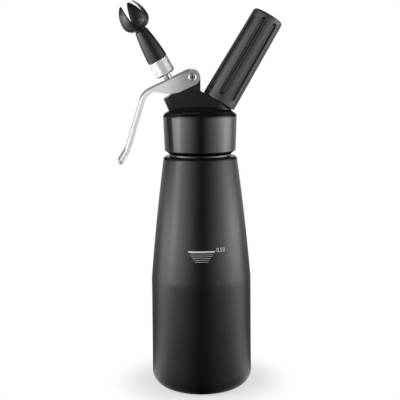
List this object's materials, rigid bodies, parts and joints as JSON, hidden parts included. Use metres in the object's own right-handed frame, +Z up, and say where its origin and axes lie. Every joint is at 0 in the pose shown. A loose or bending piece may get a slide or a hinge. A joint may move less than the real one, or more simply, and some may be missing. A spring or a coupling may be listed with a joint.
{
  "type": "whipped cream dispenser",
  "caption": "Hand-held cream whipper: lacquered metal bottle, screw-on head with a squeeze lever, push valve with a petalled nozzle, and a ribbed gas charger holder.",
  "frame": {"origin": "centre of the bottle's flat base, on the surface it stands on", "axes": "+Z up along the bottle's axis; the lever and the nozzle lean to -X and the charger holder leans to +X; the object's mirror plane is XZ"},
  "size_m": [0.1297, 0.0808, 0.3076],
  "materials": {
    "bottle_lacquer": "black lacquer on aluminium, satin gloss",
    "head_lacquer": "black lacquer on cast aluminium, satin gloss",
    "polished_steel": "polished stainless steel",
    "charger_steel": "zinc-plated, dull",
    "spring_steel": "drawn wire",
    "brass": "turned",
    "holder_plastic": "moulded, fine satin",
    "tip_plastic": "moulded, glossy",
    "nylon": "natural",
    "silicone": "soft, dull",
    "black_rubber": "dull"
  },
  "bodies": {
    "bottle": {"bottle": "bottle_lacquer"},
    "neck_seal": {"head_gasket": "silicone"},
    "head": {"head": "head_lacquer", "stem_ring": "black_rubber", "valve_gland": "polished_steel", "valve_spring": "spring_steel", "pivot_screw": "polished_steel", "pivot_nut": "polished_steel", "pivot_washers": "nylon", "charger_socket": "brass", "piercing_pin": "polished_steel", "inlet_seal": "black_rubber", "check_plug": "brass", "check_flap": "black_rubber"},
    "lever": {"lever": "polished_steel"},
    "valve": {"valve_stem": "polished_steel", "stem_seal": "black_rubber", "seal_nut": "polished_steel", "push_washer": "polished_steel", "tip_adapter": "polished_steel"},
    "tip_seal": {"tip_gasket": "black_rubber"},
    "tip": {"decorator_tip": "tip_plastic"},
    "charger": {"gas_charger": "charger_steel"},
    "holder": {"charger_holder": "holder_plastic", "holder_insert": "brass"}
  },
  "joints": [
    {"name": "head_lift", "type": "slide", "parent": "bottle", "child": "neck_seal", "axis": [0, 0, 1], "range_m": [0, 0.0075]},
    {"name": "head_turn", "type": "hinge", "parent": "neck_seal", "child": "head", "pos_m": [0, 0, 0.206], "axis": [0, 0, 1], "range_deg": [0, 895]},
    {"name": "lever_squeeze", "type": "hinge", "parent": "head", "child": "lever", "pos_m": [-0.0068, 0, 0.2489], "axis": [0, -1, 0], "range_deg": [0, 12], "stiffness_Nm_per_rad": 0.38, "springref_deg": -8.59},
    {"name": "valve_slide", "type": "slide", "parent": "head", "child": "valve", "axis": [0.4924, 0, -0.8704], "range_m": [0, 0.0037], "deforming": ["valve_spring"]},
    {"name": "tip_lift", "type": "slide", "parent": "valve", "child": "tip_seal", "axis": [-0.4924, 0, 0.8704], "range_m": [0, 0.006]},
    {"name": "tip_turn", "type": "hinge", "parent": "tip_seal", "child": "tip", "pos_m": [-0.03265, 0, 0.2624], "axis": [-0.4924, 0, 0.8704], "range_deg": [0, 1435]},
    {"name": "holder_lift", "type": "slide", "parent": "head", "child": "charger", "axis": [0.515, 0, 0.8572], "range_m": [0, 0.008]},
    {"name": "holder_turn", "type": "hinge", "parent": "charger", "child": "holder", "pos_m": [0.01496, 0, 0.2296], "axis": [0.515, 0, 0.8572], "range_deg": [0, 1435]}
  ],
  "couplings": [
    {"joint": "head_lift", "follows": "head_turn", "m_per_rad": 0.00047746},
    {"joint": "valve_slide", "follows": "lever_squeeze", "m_per_rad": 0.0175},
    {"joint": "tip_lift", "follows": "tip_turn", "m_per_rad": 0.00023873},
    {"joint": "holder_lift", "follows": "holder_turn", "m_per_rad": 0.00031831}
  ]
}
